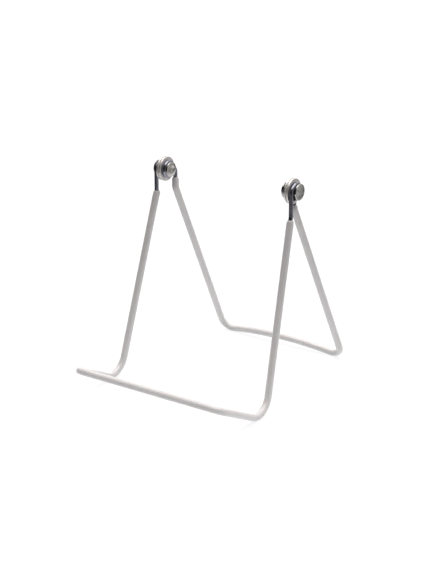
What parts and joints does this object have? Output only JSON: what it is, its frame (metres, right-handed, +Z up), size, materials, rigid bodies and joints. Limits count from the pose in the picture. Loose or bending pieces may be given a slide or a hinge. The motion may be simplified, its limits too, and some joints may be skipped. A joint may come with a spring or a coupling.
{
  "type": "photo album stand",
  "caption": "Folding wire easel with a sloping front ledge, for standing a photo album on a table.",
  "frame": {"origin": "on the table, at the middle of the footprint", "axes": "+X to the right of someone facing the ledge, +Y to the back, towards the rear frame, +Z up; the pivot axis is parallel to X"},
  "size_m": [0.1292, 0.1744, 0.1533],
  "materials": {
    "vinyl": "semi-gloss white vinyl dip",
    "bare_wire": "dark drawn steel",
    "plated_pivot": "nickel plate",
    "washer_steel": "zinc plate",
    "black_steel": "black oxide spring steel",
    "nylon": "natural nylon"
  },
  "bodies": {
    "front_frame": {"front_wire": "bare_wire", "front_coating": "vinyl", "left_pivot_post": "plated_pivot", "left_pivot_screw": "plated_pivot", "left_spring_washer": "black_steel", "left_front_washer": "washer_steel", "left_friction_washer": "nylon", "right_pivot_post": "plated_pivot", "right_pivot_screw": "plated_pivot", "right_spring_washer": "black_steel", "right_front_washer": "washer_steel", "right_friction_washer": "nylon"},
    "rear_frame": {"rear_wire": "bare_wire", "rear_coating": "vinyl", "left_rear_washer": "washer_steel", "right_rear_washer": "washer_steel"}
  },
  "joints": [
    {"name": "rear_frame_fold", "type": "hinge", "parent": "front_frame", "child": "rear_frame", "pos_m": [0, 0.0104, 0.1446], "axis": [1, 0, 0], "range_deg": [-63, 136]}
  ]
}
